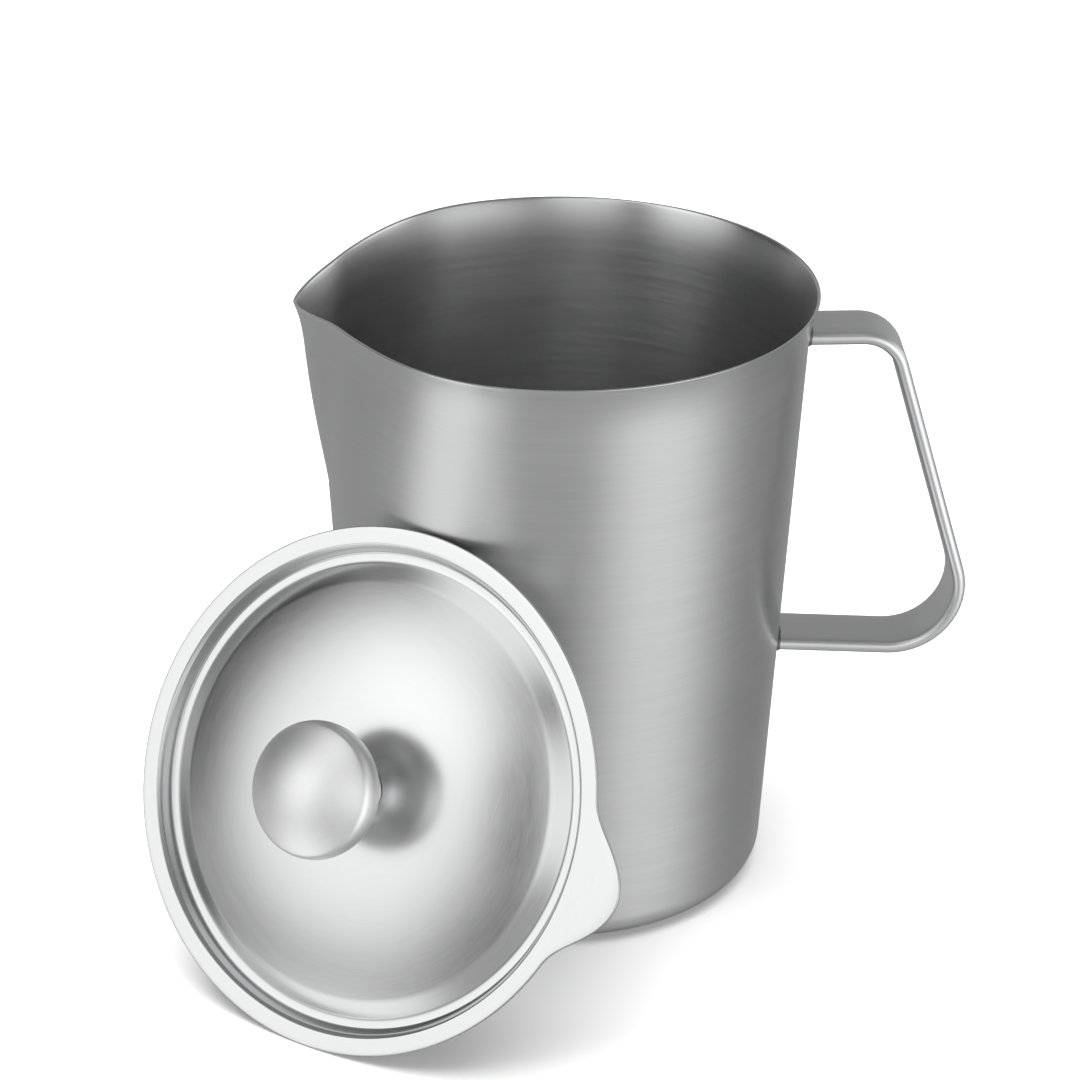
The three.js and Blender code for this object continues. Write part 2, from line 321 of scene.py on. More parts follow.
def tube_faces(rings, is_loop=False):
    """Quads between neighbouring rings of point numbers, and triangles round a pole."""
    pairs = list(zip(rings, rings[1:]))
    if is_loop:
        pairs.append((rings[-1], rings[0]))
    faces = []
    for ring, following in pairs:
        count = len(ring)
        for i in range(count):
            j = (i + 1) % count
            corners = dict.fromkeys((ring[i], ring[j], following[j], following[i]))
            if len(corners) > 2:
                faces.append(tuple(corners))
    return faces


def make_piece(name, points, faces, material, place=None, wear=None):
    """A smooth-shaded object from millimetre points. wear gives each point's edge polish."""
    mesh = bpy.data.meshes.new(name)
    mesh.from_pydata([point * MM for point in points], [], faces)
    shaped = bmesh.new()
    shaped.from_mesh(mesh)
    bmesh.ops.recalc_face_normals(shaped, faces=shaped.faces)
    shaped.to_mesh(mesh)
    shaped.free()
    mesh.shade_smooth()
    mesh.set_sharp_from_angle(angle=SHARP)
    attribute = mesh.attributes.new("wear", "FLOAT", "POINT")
    if wear:
        attribute.data.foreach_set("value", wear)
    mesh.materials.append(material)
    if place:
        mesh.transform(place)
    obj = bpy.data.objects.new(name, mesh)
    bpy.context.scene.collection.objects.link(obj)
    return obj


def stand_in_for(piece, node, body):
    """Puts a finished piece in a CAD node's stead."""
    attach(piece, body)
    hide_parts(node)


# ---------------------------------------------------------------- material helpers


def add_node(tree, kind, inputs=None, **settings):
    """A shader node. Each input is given a socket to link or a value to hold."""
    node = tree.nodes.new("ShaderNode" + kind)
    for name, value in settings.items():
        setattr(node, name, value)
    for key, value in (inputs or {}).items():
        if isinstance(value, bpy.types.NodeSocket):
            tree.links.new(value, node.inputs[key])
        else:
            node.inputs[key].default_value = value
    return node


def calculate(tree, operation, *values):
    inputs = dict(enumerate(values))
    return add_node(tree, "Math", inputs, operation=operation).outputs[0]


def vector_math(tree, operation, *values):
    inputs = dict(enumerate(values))
    return add_node(tree, "VectorMath", inputs, operation=operation).outputs[0]


def vector_dot(tree, vector, axis):
    inputs = {0: vector, 1: axis}
    return add_node(tree, "VectorMath", inputs, operation="DOT_PRODUCT").outputs["Value"]


def noise(tree, coordinates, detail=2.0, scale=1.0, roughness=0.5):
    inputs = {"Vector": coordinates, "Scale": scale, "Detail": detail, "Roughness": roughness}
    return add_node(tree, "TexNoise", inputs).outputs["Fac"]


def remap(tree, value, low, high, new_low=0.0, new_high=1.0):
    before = {"Value": value, "From Min": low, "From Max": high}
    after = {"To Min": new_low, "To Max": new_high}
    return add_node(tree, "MapRange", before | after).outputs["Result"]


def weighted_sum(tree, terms):
    """The sum of sockets times weights."""
    total = 0.0
    for socket, weight in terms:
        total = calculate(tree, "MULTIPLY_ADD", socket, weight, total)
    return total


def own_place(tree, frame_of_piece):
    """The shaded point in the piece's own upright frame."""
    place = add_node(tree, "TexCoord").outputs["Object"]
    if frame_of_piece is None:
        return place
    inputs = {
        "Vector": place,
        "Location": frame_of_piece.to_translation(),
        "Rotation": frame_of_piece.to_euler(),
    }
    return add_node(tree, "Mapping", inputs, vector_type="TEXTURE").outputs[0]


def turned_grain(tree, place, along, across):
    """Coordinates in which noise makes long streaks round the object's Z axis.

    along counts noise cells in a radian, and across counts them in a metre.
    """
    flat = vector_math(tree, "MULTIPLY", place, (1, 1, 0))
    around = vector_math(tree, "MULTIPLY", vector_math(tree, "NORMALIZE", flat), (along, along, 0))
    radius = add_node(tree, "VectorMath", {0: flat}, operation="LENGTH").outputs["Value"]
    height = add_node(tree, "SeparateXYZ", {0: place}).outputs["Z"]
    rank = calculate(tree, "MULTIPLY", calculate(tree, "ADD", radius, height), across)
    lifted = add_node(tree, "CombineXYZ", {"Z": rank}).outputs[0]
    return vector_math(tree, "ADD", around, lifted)


def drawn_grain(tree, place, along, across):
    """Coordinates in which noise makes long streaks along a strap bent in the XZ plane."""
    return vector_math(tree, "MULTIPLY", place, (along, across, along))


def mix_colours(tree, share, dark, light):
    """A colour between two, by a socket that is 0 at dark and 1 at light."""
    node = add_node(tree, "Mix", data_type="RGBA")
    sockets = {socket.name: socket for socket in node.inputs if socket.enabled}
    tree.links.new(share, sockets["Factor"])
    sockets["A"].default_value = (*dark, 1)
    sockets["B"].default_value = (*light, 1)
    return next(socket for socket in node.outputs if socket.enabled)


def steel_patterns(tree, look):
    """The noises that colour, roughness and relief share."""
    place = own_place(tree, look.frame)
    fine = noise(tree, look.grain(tree, place, *look.fine), detail=3.0, roughness=0.6)
    coarse = noise(tree, look.grain(tree, place, *look.coarse), detail=2.0)
    cloud = noise(tree, place, scale=look.cloud_scale, detail=3.0)
    stray = noise(tree, vector_math(tree, "MULTIPLY", place, look.scratch_stretch), detail=1.0)
    scratch = remap(tree, stray, *SCRATCH.threshold)
    wear = add_node(tree, "Attribute", attribute_name="wear").outputs["Fac"]
    rubbed = remap(tree, cloud, *EDGE_WEAR.clouds, EDGE_WEAR.least, 1.0)
    polish = calculate(tree, "MULTIPLY", wear, rubbed)
    return Sizes(fine=fine, coarse=coarse, cloud=cloud, scratch=scratch, polish=polish)


def steel_colour(tree, look, pattern):
    tones = (
        (pattern.fine, look.fine_tone),
        (pattern.coarse, look.coarse_tone),
        (pattern.cloud, look.cloud_tone),
    )
    middle = sum(weight for _, weight in tones) / 2
    tone = weighted_sum(tree, tones)
    tone = calculate(tree, "ADD", tone, calculate(tree, "MULTIPLY", pattern.scratch, SCRATCH.tone))
    tone = calculate(tree, "ADD", calculate(tree, "SUBTRACT", tone, middle), 0.5)
    edge = calculate(tree, "MULTIPLY", pattern.polish, look.edge_tone)
    return mix_colours(tree, calculate(tree, "ADD", tone, edge), look.dark, look.light)


def steel_roughness(tree, look, pattern):
    spreads = (
        (pattern.fine, look.fine_spread),
        (pattern.coarse, look.coarse_spread),
        (pattern.cloud, look.cloud_spread),
    )
    middle = sum(weight for _, weight in spreads) / 2
    rough = weighted_sum(tree, (*spreads, (pattern.scratch, SCRATCH.spread)))
    rough = calculate(tree, "ADD", rough, look.roughness - middle)
    edge = calculate(tree, "MULTIPLY", pattern.polish, look.edge_polish)
    return calculate(tree, "SUBTRACT", rough, edge)


def steel_relief(tree, look, pattern):
    depths = (
        (pattern.fine, RELIEF.fine),
        (pattern.coarse, RELIEF.coarse),
        (pattern.scratch, -RELIEF.scratch),
    )
    inputs = {
        "Height": weighted_sum(tree, depths),
        "Strength": look.bump,
        "Distance": RELIEF.height,
    }
    return add_node(tree, "Bump", inputs).outputs[0]


def brushed_steel(name, look):
    """Steel with fine and coarse brushing, stray scratches, clouding and polished edges."""
    material = bpy.data.materials.new(name)
    material.use_nodes = True
    tree = material.node_tree
    shader = tree.nodes["Principled BSDF"]
    pattern = steel_patterns(tree, look)
    tree.links.new(steel_colour(tree, look, pattern), shader.inputs["Base Color"])
    tree.links.new(steel_roughness(tree, look, pattern), shader.inputs["Roughness"])
    tree.links.new(steel_relief(tree, look, pattern), shader.inputs["Normal"])
    shader.inputs["Metallic"].default_value = 1.0
    if look.anisotropy:
        tangent = add_node(tree, "Tangent", direction_type="RADIAL", axis="Z").outputs[0]
        tree.links.new(tangent, shader.inputs["Tangent"])
        shader.inputs["Anisotropic"].default_value = look.anisotropy
        shader.inputs["Anisotropic Rotation"].default_value = 0.25  # of a turn
    return material


def steel_look(**changes):
    """The jug's finish, with some values changed."""
    look = Sizes(
        frame=None,
        grain=turned_grain,
        fine=(5.0, 4200.0),
        coarse=(1.6, 900.0),
        cloud_scale=28.0,
        scratch_stretch=(30.0, 260.0, 2400.0),
        dark=(0.50, 0.502, 0.505),
        light=(0.66, 0.662, 0.665),
        fine_tone=0.6,
        coarse_tone=0.35,
        cloud_tone=0.35,
        roughness=0.34,
        fine_spread=0.16,
        coarse_spread=0.08,
        cloud_spread=0.08,
        edge_polish=0.16,
        edge_tone=0.25,
        bump=0.12,
        anisotropy=0.7,
    )
    vars(look).update(changes)
    return look


# ---------------------------------------------------------------- jug body

WALL_SLOPE = (JUG.head_radius - JUG.foot_radius) / JUG.height


def wall_radius(height):
    """The radius of the jug's outside at a height, away from the spout."""
    turn = max(0.0, (height - JUG.flare_start) / (JUG.height - JUG.flare_start))
    return JUG.foot_radius + WALL_SLOPE * height + JUG.flare * turn**3


def spout_shape(angle, half_angle):
    """1 on the V's ridge and 0 at its feet, with both ends rounded."""
    rounded = hypot(angle, SPOUT.tip_angle) / half_angle
    return SPOUT.softness * math.log1p(math.exp((1 - rounded) / SPOUT.softness))


def press_spout(radius, height, angle):
    """Presses the V spout out of the round wall and draws the wall in beside it."""
    rise = max(0.0, (height - SPOUT.foot) / (JUG.height - SPOUT.foot))
    if rise == 0:
        return radius, height
    away = from_spout(angle)
    shape = spout_shape(away, blend(SPOUT.foot_half_angle, SPOUT.half_angle, rise))
    pushed = SPOUT.push * rise * (1 + SPOUT.quickness) / (rise + SPOUT.quickness) * shape
    drawn = SPOUT.waist * rise**2 * (1 - smooth_step(abs(away), *SPOUT.waist_fade))
    return radius + pushed - drawn, height - SPOUT.dip * rise**2 * shape


def jug_body(material):
    lean = atan(WALL_SLOPE)
    corner = JUG.corner_radius
    centre = (wall_radius(corner) - corner / cos(lean), corner)
    rows = range(1, JUG.spout_rows + 1)
    heights = [*JUG.wall_rings, SPOUT.foot]
    heights += [blend(SPOUT.foot, JUG.height, row / JUG.spout_rows) for row in rows]
    outside = [Vector((radius, 0)) for radius in JUG.base_rings]
    outside += arc(centre, corner, -90, -math.degrees(lean), JUG.corner_steps)
    outside += [Vector((wall_radius(height), height)) for height in heights]
    inside = offset(outside, JUG.sheet)
    inside[0].x = 0
    inside[-1].y = JUG.height
    outer_lip = rounded_corner(outside[-2], outside[-1], inside[-1], JUG.lip)
    inner_lip = rounded_corner(outside[-1], inside[-1], inside[-2], JUG.lip)
    lip = outer_lip + inner_lip
    profile = outside[:-1] + lip + inside[-2::-1]
    points, faces = turned(profile, JUG.columns, JUG.crowding, press_spout)
    lip_rows = range(len(outside) - 1, len(outside) - 1 + len(lip))
    wear = []
    for row, (radius, _) in enumerate(profile):
        wear += [float(row in lip_rows)] * (JUG.columns if radius > ON_AXIS else 1)
    return make_piece("jug_shell", points, faces, material, wear=wear)


# ---------------------------------------------------------------- handle


def bar_section(width, thickness):
    """A flat bar's section with fully rounded edges: across, out from the middle, and wear."""
    reach = (width - thickness) / 2
    half = thickness / 2
    section = []
    for side in (1, -1):
        for step in range(HANDLE.arc_steps + 1):
            angle = blend(0, pi, step / HANDLE.arc_steps)
            section.append((side * (reach + half * sin(angle)), side * half * cos(angle), sin(angle)))
        for step in range(1, HANDLE.flat_steps):
            section.append((side * blend(reach, -reach, step / HANDLE.flat_steps), -side * half, 0.0))
    return section


def bent_route(corners, radii, arc_steps):
    """Points and directions along the arcs that round the inner corners of a route."""
    stations = []
    for before, corner, after, radius in zip(corners, corners[1:], corners[2:], radii):
        incoming = (corner - before).normalized()
        outgoing = (after - corner).normalized()
        turn = atan2(incoming.cross(outgoing), incoming.dot(outgoing))
        start = corner - incoming * radius * tan(abs(turn) / 2)
        spoke = Vector((incoming.y, -incoming.x)) * math.copysign(radius, turn)
        for step in range(arc_steps + 1):
            swing = Matrix.Rotation(turn * step / arc_steps, 2)
            stations.append((start - spoke + swing @ spoke, swing @ incoming))
    return stations


def beside(station, across, out):
    """A point of a section at a station: radius, height and distance across."""
    point, direction = station
    normal = Vector((-direction.y, direction.x))
    return Vector((point.x + normal.x * out, across, point.y + normal.y * out))


def against_wall(station, across, out, clearance):
    """The same, slid along the station's direction until it is clearance outside the wall.

    The wall leans, so each slide changes the radius wanted, and a few repeats settle it.
    """
    point = beside(station, across, out)
    direction = station[1]
    for _ in range(5):
        wanted = sqrt((wall_radius(point.z) + clearance) ** 2 - across**2)
        slide = (wanted - point.x) / direction.x
        point = point + Vector((direction.x, 0, direction.y)) * slide
    return point


def flat_end(ring):
    """One face that closes a tube's flat end."""
    return [tuple(ring)]


def bar_end(ring):
    """Faces that close a bar's end from one flat side to the other, so they follow a round wall."""
    count = len(ring)
    faces = []
    first = HANDLE.arc_steps // 2
    for i in range(first, first + count // 2):
        opposite = HANDLE.arc_steps - i
        corners = (ring[i], ring[i + 1], ring[(opposite - 1) % count], ring[opposite % count])
        faces.append(tuple(dict.fromkeys(corners)))
    return faces


def swept(rings, close_end):
    """Points and faces of a tube through rings of points. close_end makes the faces of an end."""
    count = len(rings[0])
    points = [point for ring in rings for point in ring]
    numbers = [range(i * count, (i + 1) * count) for i in range(len(rings))]
    faces = tube_faces(numbers) + close_end(numbers[0]) + close_end(numbers[-1])
    return points, faces


INSIDE_WALL = JUG.foot_radius - 2  # a radius that the strap's route starts and ends at
HANDLE_CORNERS = (
    Vector((INSIDE_WALL, HANDLE.upper_corner.y)),
    HANDLE.upper_corner,
    HANDLE.lower_corner,
    Vector((INSIDE_WALL, HANDLE.lower_root_height)),
)
UPPER_END = (HANDLE_CORNERS[0], (HANDLE_CORNERS[1] - HANDLE_CORNERS[0]).normalized())
LOWER_END = (HANDLE_CORNERS[3], (HANDLE_CORNERS[3] - HANDLE_CORNERS[2]).normalized())


def handle_strap(material):
    section = bar_section(HANDLE.width, HANDLE.thickness)
    rings = []
    for gap in HANDLE.end_gaps:
        rings.append([against_wall(UPPER_END, y, out, gap) for y, out, _ in section])
    for station in bent_route(HANDLE_CORNERS, HANDLE.bend_radii, HANDLE.bend_steps):
        rings.append([beside(station, y, out) for y, out, _ in section])
    for gap in reversed(HANDLE.end_gaps):
        rings.append([against_wall(LOWER_END, y, out, gap) for y, out, _ in section])
    points, faces = swept(rings, bar_end)
    wear = [value for _ in rings for _, _, value in section]
    return make_piece("handle_bar", points, faces, material, wear=wear)


def handle_weld(name, end, material):
    rings = []
    for clearance, overhang in WELD_OUTLINE:
        section = bar_section(HANDLE.width + 2 * overhang, HANDLE.thickness + 2 * overhang)
        ring = []
        for i, (across, out, _) in enumerate(section):
            phase = i * WELD_RIPPLE.around + clearance * WELD_RIPPLE.outward
            ripple = WELD_RIPPLE.depth * sin(phase)
            ring.append(against_wall(end, across, out * (1 + ripple / HANDLE.thickness), clearance))
        rings.append(ring)
    points, faces = swept(rings, bar_end)
    return make_piece(name, points, faces, material)


# ---------------------------------------------------------------- lid


def lid_place():
    """The lid's own frame: its rim stands on the floor and its plug's corner rests on the jug."""
    along = cos(LEAN.rise)
    up = sin(LEAN.rise)
    centre_height = LID.flange_radius * along + LID.sheet * up
    plug_radius = LID.step_radius + LID.sheet
    plug_depth = LID.step_depth + LID.sheet
    plug_rounding = (LID.groove_fillet + LID.sheet) * (up + along - 1)
    contact_height = centre_height + plug_radius * along - plug_depth * up
    contact_reach = wall_radius(contact_height) + GAP - plug_rounding
    reach = contact_reach + plug_radius * up + plug_depth * along
    centre = Vector((reach * cos(LEAN.place), reach * sin(LEAN.place), centre_height))
    return (
        Matrix.Translation(centre * MM)
        @ Matrix.Rotation(LEAN.azimuth, 4, "Z")
        @ Matrix.Rotation(pi / 2 - LEAN.rise, 4, "Y")
        @ Matrix.Rotation(LEAN.roll, 4, "Z")
    )


LID_PLACE = lid_place()
CAP_RADIUS = LID.dome_radius - LID.band_width


def dome_height(radius):
    """The height of the dome's cap at a radius, above the flange's upper side."""
    rise = LID.dome_height + LID.step_depth - LID.band_rise
    return LID.dome_height - rise * (radius / CAP_RADIUS) ** LID.cap_fullness


FLANGE_START = LID.step_radius + LID.step_flare + LID.flange_fillet + LID.sheet
PAD_HEIGHT = dome_height(LID.pad_radius)


def draw_tongue(radius, height, angle):
    """Stretches the flange into the tongue that covers the spout, up to its rounded lip."""
    share = min(1.0, abs(from_spout(angle)) / LID.tongue_half_angle)
    reach = LID.tongue_reach * cos(pi / 2 * share) ** 2
    across = (radius - FLANGE_START) / (LID.flange_radius - LID.lip - FLANGE_START)
    return radius + reach * min(1.0, max(0.0, across)), height


def lid_upper_side():
    """The upper outline, from the screw's hole out to where the flange's rounded edge starts."""
    step_top = LID.step_radius + LID.step_flare
    floor = -LID.step_depth
    cap_edge = Vector((CAP_RADIUS, dome_height(CAP_RADIUS)))
    dome_foot = Vector((LID.dome_radius, floor))
    step_foot = Vector((LID.step_radius, floor))
    groove = (LID.step_radius - LID.groove_fillet, floor + LID.groove_fillet)
    wall_top = Vector((step_top, -LID.flange_fillet - LID.chamfer_drop))
    chamfer_foot = Vector((step_top, -LID.flange_fillet)) + LID.chamfer_lean
    chamfer_head = Vector((step_top + LID.flange_fillet, 0))
    flange = Vector((FLANGE_START, 0))
    flange_end = LID.flange_radius - LID.lip
    rows = LID.straight_rows

    outline = [Vector((LID.hole_radius, PAD_HEIGHT)), Vector((LID.pad_radius, PAD_HEIGHT))]
    for row in range(1, LID.dome_rows):
        radius = blend(LID.pad_radius, CAP_RADIUS - LID.crease, row / LID.dome_rows)
        outline.append(Vector((radius, dome_height(radius))))
    crease = rounded_corner(outline[-1], cap_edge, dome_foot, LID.crease, LID.corner_rows)
    valley = rounded_corner(cap_edge, dome_foot, step_foot, LID.valley, LID.corner_rows)
    outline += crease
    outline += [crease[-1].lerp(valley[0], row / rows) for row in range(1, rows)]
    outline += valley
    outline += arc(groove, LID.groove_fillet, -90, -LID.groove_lean, LID.corner_rows)
    outline += rounded_corner(wall_top, chamfer_foot, chamfer_head, LID.chamfer_foot_reach)
    outline += rounded_corner(chamfer_foot, chamfer_head, flange, LID.chamfer_head_reach)
    for row in range(rows + 1):
        outline.append(Vector((blend(FLANGE_START, flange_end, row / rows), 0)))
    return outline


def lid_shell(material):
    upper = lid_upper_side()
    under = offset(upper, -LID.sheet)
    top_edge = Vector((LID.flange_radius, 0))
    low_edge = Vector((LID.flange_radius, -LID.sheet))
    lip = rounded_corner(upper[-1], top_edge, low_edge, LID.lip)
    lip += rounded_corner(top_edge, low_edge, under[-1], LID.lip)
    profile = upper + lip[1:-1] + under[::-1]
    points, faces = turned(profile, LID.columns, LID.crowding, draw_tongue)
    lip_rows = range(len(upper), len(upper) + len(lip) - 2)
    wear = []
    for row in range(len(profile)):
        wear += [float(row in lip_rows)] * LID.columns
    return make_piece("lid_pan", points, faces, material, LID_PLACE, wear)


def knob_side(underside, shoulder):
    """The outline of the knob's bulging side, from its underside up to its shoulder's height."""
    # A cubic curve bulges three quarters of the way to its control points.
    bulge = KNOB.radius + (2 * KNOB.radius - underside.x - KNOB.shoulder_radius) / 6
    lower_pull, upper_pull = KNOB.side_pulls
    controls = (
        underside,
        (bulge, underside.y + lower_pull),
        (bulge, shoulder - upper_pull),
        (KNOB.shoulder_radius, shoulder),
    )
    return bezier(controls, KNOB.side_rows)


def knob_face(top):
    """The outline of the knob's domed face, from inside its shoulder to beside the axis."""
    dome_radius = (KNOB.shoulder_radius**2 + KNOB.face_rise**2) / (2 * KNOB.face_rise)
    face = []
    for row in range(1, KNOB.face_rows):
        radius = KNOB.shoulder_radius * (1 - row / KNOB.face_rows)
        face.append(Vector((radius, top - dome_radius + sqrt(dome_radius**2 - radius**2))))
    return face


def lid_knob(material):
    seat = PAD_HEIGHT + GAP
    top = seat + KNOB.height
    hole = SCREW.radius + SCREW.clearance
    hole_top = SCREW_HEAD_TOP + SCREW.length + SCREW.hole_spare
    foot = [Vector((KNOB.foot_radius + across, seat + up)) for across, up in KNOB.foot_bead]
    neck_foot = Vector((KNOB.neck_radius + KNOB.neck_foot[0], seat + KNOB.neck_foot[1]))
    neck = (KNOB.neck_radius, seat + KNOB.neck_height)
    underside = Vector((KNOB.underside.x, seat + KNOB.underside.y))
    cove_control = (KNOB.neck_radius, underside.y - KNOB.underside_pull)
    profile = [
        Vector((0, hole_top)),
        Vector((hole, hole_top)),
        Vector((hole, seat)),
        *foot,
        neck_foot,
        *bezier((neck, cove_control, underside), KNOB.cove_rows),
        *knob_side(underside, top - KNOB.face_rise)[1:],
        *knob_face(top),
        Vector((0, top)),
    ]
    points, faces = turned(profile, KNOB.columns)
    return make_piece("lid_grip", points, faces, material, LID_PLACE)


# ---------------------------------------------------------------- fastening under the lid

UNDERSIDE = PAD_HEIGHT - LID.sheet
FLAT_WASHER_TOP = UNDERSIDE - GAP
SPRING_WASHER_TOP = FLAT_WASHER_TOP - FLAT_WASHER.thickness - GAP
SCREW_HEAD_TOP = SPRING_WASHER_TOP - SPRING_WASHER.thickness - GAP


def washer_section(washer, top):
    """A washer's section, with its four corners rounded."""
    inner = SCREW.radius + SCREW.clearance
    bottom = top - washer.thickness
    outline = ((inner, bottom), (washer.radius, bottom), (washer.radius, top), (inner, top))
    corners = [Vector(corner) for corner in outline]
    section = []
    for i, corner in enumerate(corners):
        section += rounded_corner(corners[i - 1], corner, corners[(i + 1) % 4], washer.bevel, 3)
    return section


def flat_washer(material):
    section = washer_section(FLAT_WASHER, FLAT_WASHER_TOP)
    points, faces = turned(section, FLAT_WASHER.columns)
    return make_piece("washer_flat", points, faces, material, LID_PLACE)


def spring_washer(material):
    """A split ring, swept round from one side of its slot to the other."""
    section = washer_section(SPRING_WASHER, SPRING_WASHER_TOP)
    rings = []
    for step in range(SPRING_WASHER.steps + 1):
        ring = []
        for point in section:
            half_slot = math.asin(SPRING_WASHER.slot / 2 / point.x)
            angle = blend(half_slot, 2 * pi - half_slot, step / SPRING_WASHER.steps)
            ring.append(Vector((point.x * cos(angle), point.x * sin(angle), point.y)))
        rings.append(ring)
    points, faces = swept(rings, flat_end)
    return make_piece("washer_split", points, faces, material, LID_PLACE)


BOX_CORNERS = ((-1, -1), (1, -1), (1, 1), (-1, 1))
BOX_FACES = ((0, 3, 2, 1), (4, 5, 6, 7), (0, 1, 5, 4), (1, 2, 6, 5), (2, 3, 7, 6), (3, 0, 4, 7))


def cross_cutter():
    """The driver recess: two crossed tapering bars that narrow into the head."""
    bottom = SCREW_HEAD_TOP - SCREW.head_height
    mouth = (SCREW.cross_mouth.share, bottom - SCREW.cross_mouth.proud)
    floor = (SCREW.cross_floor_share, bottom + SCREW.cross_depth)
    half_size = (SCREW.cross_length / 2, SCREW.cross_width / 2)
    cutter = bmesh.new()
    for turn in (0, pi / 2):
        spin = Matrix.Rotation(turn, 3, "Z")
        corners = []
        for share, height in (mouth, floor):
            narrowing = blend(SCREW.cross_steady, 1.0, share)
            for x, y in BOX_CORNERS:
                across = (x * half_size[0] * share, y * half_size[1] * narrowing, height)
                corners.append(cutter.verts.new(spin @ Vector(across) * MM))
        for numbers in BOX_FACES:
            cutter.faces.new([corners[number] for number in numbers])
    mesh = bpy.data.meshes.new("recess")
    cutter.to_mesh(mesh)
    cutter.free()
    obj = bpy.data.objects.new("recess", mesh)
    bpy.context.scene.collection.objects.link(obj)
    return obj


def cut_recess(screw):
    """Cuts the driver recess out of the screw's head."""
    cutter = cross_cutter()
    cut = screw.modifiers.new("recess", "BOOLEAN")
    cut.object = cutter
    cut.operation = "DIFFERENCE"
    cut.solver = "EXACT"
    cut.use_self = True
    graph = bpy.context.evaluated_depsgraph_get()
    mesh = bpy.data.meshes.new_from_object(screw.evaluated_get(graph))
    screw.modifiers.clear()
    screw.data = mesh
    mesh.shade_smooth()
    mesh.set_sharp_from_angle(angle=SHARP)
    bpy.data.objects.remove(cutter)


def knob_screw(material):
    top = SCREW_HEAD_TOP
    bottom = top - SCREW.head_height
    tip = top + SCREW.length
    head = SCREW.head_radius
    rim = Vector((head, top))
    dome = ((head - SCREW.head_round, bottom), (head, bottom), (head, bottom + SCREW.head_round))
    profile = [
        Vector((0, bottom)),
        *bezier(dome, SCREW.head_rows),
        *rounded_corner(Vector((head, bottom)), rim, Vector((0, top)), SCREW.head_bevel, 3),
        Vector((SCREW.radius, top)),
        Vector((SCREW.radius, tip - SCREW.tip_bevel)),
        Vector((SCREW.radius - SCREW.tip_bevel, tip)),
        Vector((0, tip)),
    ]
    points, faces = turned(profile, SCREW.columns)
    screw = make_piece("screw_pan_head", points, faces, material)
    cut_recess(screw)
    screw.data.transform(LID_PLACE)
    return screw


# ---------------------------------------------------------------- studio


def place_camera():
    data = bpy.data.cameras.new("camera")
    data.sensor_fit = "HORIZONTAL"
    data.sensor_width = 36.0
    data.lens = CAMERA.lens
    camera = bpy.data.objects.new("camera", data)
    bpy.context.scene.collection.objects.link(camera)
    camera.matrix_world = (
        Matrix.Translation(CAMERA.place * MM)
        @ Matrix.Rotation(-CAMERA.heading, 4, "Z")
        @ Matrix.Rotation(pi / 2 - CAMERA.pitch, 4, "X")
        @ Matrix.Rotation(CAMERA.roll, 4, "Z")
    )
    bpy.context.scene.camera = camera


def studio_floor():
    """A wide pale floor that sweeps up into a wall all round, seen only by the camera."""
    sweep_centre = (PAPER.floor_radius, PAPER.sweep)
    profile = [Vector((radius, 0)) for radius in (0, PAPER.inner_ring, PAPER.floor_radius)]
    profile += arc(sweep_centre, PAPER.sweep, -90, 0, PAPER.sweep_rows)[1:]
    profile += [Vector((PAPER.floor_radius + PAPER.sweep, PAPER.wall_top))]
    profile += [Vector((0, PAPER.wall_top))]
    points, faces = turned(profile, PAPER.columns)
    material = bpy.data.materials.new("studio_paper")
    material.use_nodes = True
    tree = material.node_tree
    shader = tree.nodes["Principled BSDF"]
    place = add_node(tree, "TexCoord").outputs["Object"]
    tone = remap(tree, noise(tree, place, scale=3.0), 0.3, 0.7, *PAPER.tone)
    tree.links.new(tone, shader.inputs["Base Color"])
    shader.inputs["Roughness"].default_value = 0.95
    shader.inputs["Specular IOR Level"].default_value = 0.0
    floor = make_piece("studio_floor", points, faces, material)
    floor.visible_glossy = False
    floor.visible_diffuse = False
    floor.visible_shadow = False
    floor.visible_transmission = False


def overhead_light():
    """A broad light that gives the jug a soft shadow. The steel doesn't reflect it."""
    data = bpy.data.lights.new("overhead", "AREA")
    data.shape = "SQUARE"
    data.size = OVERHEAD.side
    data.energy = OVERHEAD.power
    light = bpy.data.objects.new("overhead", data)
    bpy.context.scene.collection.objects.link(light)
    light.matrix_world = (
        Matrix.Translation(Vector((0, 0, OVERHEAD.aim_height)))
        @ Matrix.Rotation(radians(OVERHEAD.azimuth) + pi / 2, 4, "Z")
        @ Matrix.Rotation(pi / 2 - radians(OVERHEAD.elevation), 4, "X")
        @ Matrix.Translation(Vector((0, 0, OVERHEAD.distance)))
    )
    light.visible_camera = False
    light.visible_glossy = False


def direction(azimuth, elevation):
    """A unit direction from two angles in degrees. Azimuth 0 points from the jug to the camera."""
    heading = TOWARDS_CAMERA + radians(azimuth)
    rise = radians(elevation)
    return Vector((cos(heading) * cos(rise), sin(heading) * cos(rise), sin(rise)))


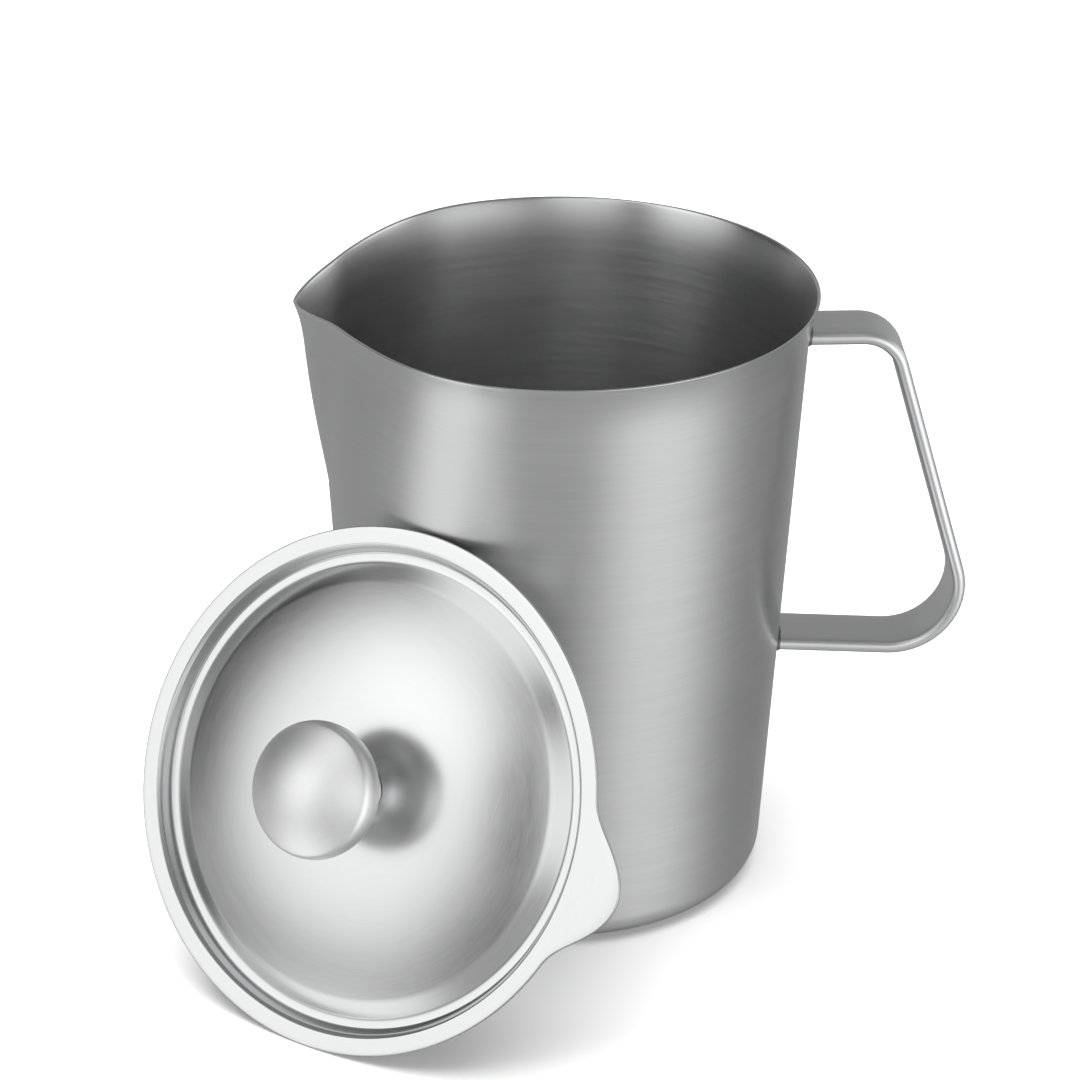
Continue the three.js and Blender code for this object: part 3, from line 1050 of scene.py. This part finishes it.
def studio_surround():
    """A dim surround with soft glowing panels and dark flags, which the steel reflects."""
    world = bpy.data.worlds.new("studio")
    bpy.context.scene.world = world
    world.use_nodes = True
    tree = world.node_tree
    background = tree.nodes["Background"]
    look = add_node(tree, "TexCoord").outputs["Generated"]
    frontness = vector_dot(tree, look, direction(0, 0))
    height = add_node(tree, "SeparateXYZ", {0: look}).outputs["Z"]
    glow = remap(tree, frontness, *SURROUND.turn, SURROUND.back, SURROUND.front)
    loss = remap(tree, height, *SURROUND.top, 0.0, SURROUND.top_drop)
    glow = calculate(tree, "SUBTRACT", glow, loss)
    for azimuth, elevation, inner, outer, power in PANELS:
        nearness = vector_dot(tree, look, direction(azimuth, elevation))
        inputs = {
            "Value": nearness,
            "From Min": cos(radians(outer)),
            "From Max": cos(radians(inner)),
            "To Max": power,
        }
        panel = add_node(tree, "MapRange", inputs, interpolation_type="SMOOTHSTEP")
        glow = calculate(tree, "ADD", glow, panel.outputs["Result"])
    tree.links.new(glow, background.inputs["Strength"])
    background.inputs["Color"].default_value = (1.0, 1.0, 1.0, 1)


# ---------------------------------------------------------------- assembly

place_camera()
studio_floor()
overhead_light()
studio_surround()
bpy.context.scene.view_settings.view_transform = "Standard"

jug_steel = brushed_steel("jug_steel", steel_look())
handle_steel = brushed_steel(
    "handle_steel",
    steel_look(
        grain=drawn_grain,
        fine=(60.0, 4200.0),
        coarse=(30.0, 900.0),
        scratch_stretch=(100.0, 1200.0, 100.0),
        dark=(0.62, 0.623, 0.628),
        light=(0.78, 0.783, 0.788),
        roughness=0.46,
        edge_polish=0.18,
        anisotropy=0.0,
    ),
)
# The welds' near-black colour is painted shade. It draws the dark line where the handle's strap meets
# the wall.
weld_steel = brushed_steel(
    "weld_steel",
    steel_look(
        fine=(40.0, 1800.0),
        coarse=(20.0, 900.0),
        dark=(0.10, 0.10, 0.102),
        light=(0.24, 0.238, 0.236),
        cloud_scale=300.0,
        cloud_tone=0.9,
        roughness=0.5,
        bump=0.5,
        anisotropy=0.0,
    ),
)
lid_steel = brushed_steel(
    "lid_steel",
    steel_look(
        frame=LID_PLACE,
        fine=(9.0, 3600.0),
        coarse=(4.0, 500.0),
        dark=(0.56, 0.562, 0.565),
        light=(0.68, 0.682, 0.685),
        fine_tone=0.5,
        coarse_tone=0.3,
        roughness=0.22,
        fine_spread=0.06,
        coarse_spread=0.04,
        cloud_spread=0.05,
        edge_polish=-0.1,
        edge_tone=-0.5,
        bump=0.04,
        scratch_stretch=(2200.0, 40.0, 300.0),
        anisotropy=0.0,
    ),
)
# The knob has the lid's satin steel, made paler. The extra lightness over the lid's colour is a
# painted highlight.
knob_steel = brushed_steel(
    "knob_steel",
    steel_look(
        frame=LID_PLACE,
        fine=(9.0, 3600.0),
        coarse=(4.0, 500.0),
        dark=(0.77, 0.772, 0.775),
        light=(0.89, 0.892, 0.895),
        fine_tone=0.5,
        coarse_tone=0.3,
        roughness=0.43,
        fine_spread=0.06,
        coarse_spread=0.03,
        cloud_spread=0.04,
        bump=0.03,
        scratch_stretch=(1800.0, 1800.0, 60.0),
        anisotropy=0.0,
    ),
)
fastener_steel = brushed_steel(
    "fastener_steel",
    steel_look(
        frame=LID_PLACE,
        fine=(12.0, 5200.0),
        coarse=(6.0, 1600.0),
        cloud_scale=220.0,
        dark=(0.42, 0.422, 0.425),
        light=(0.6, 0.602, 0.605),
        roughness=0.3,
        bump=0.1,
        anisotropy=0.0,
    ),
)

stand_in_for(jug_body(jug_steel), "jug_body", "jug")
stand_in_for(handle_strap(handle_steel), "handle_strap", "jug")
stand_in_for(
    handle_weld("weld_upper", UPPER_END, weld_steel), "upper_handle_weld", "jug"
)
stand_in_for(
    handle_weld("weld_lower", LOWER_END, weld_steel), "lower_handle_weld", "jug"
)
stand_in_for(lid_shell(lid_steel), "lid_shell", "lid")
stand_in_for(lid_knob(knob_steel), "lid_knob", "lid")
stand_in_for(knob_screw(fastener_steel), "knob_screw", "lid")
stand_in_for(spring_washer(fastener_steel), "spring_washer", "lid")
stand_in_for(flat_washer(fastener_steel), "flat_washer", "lid")
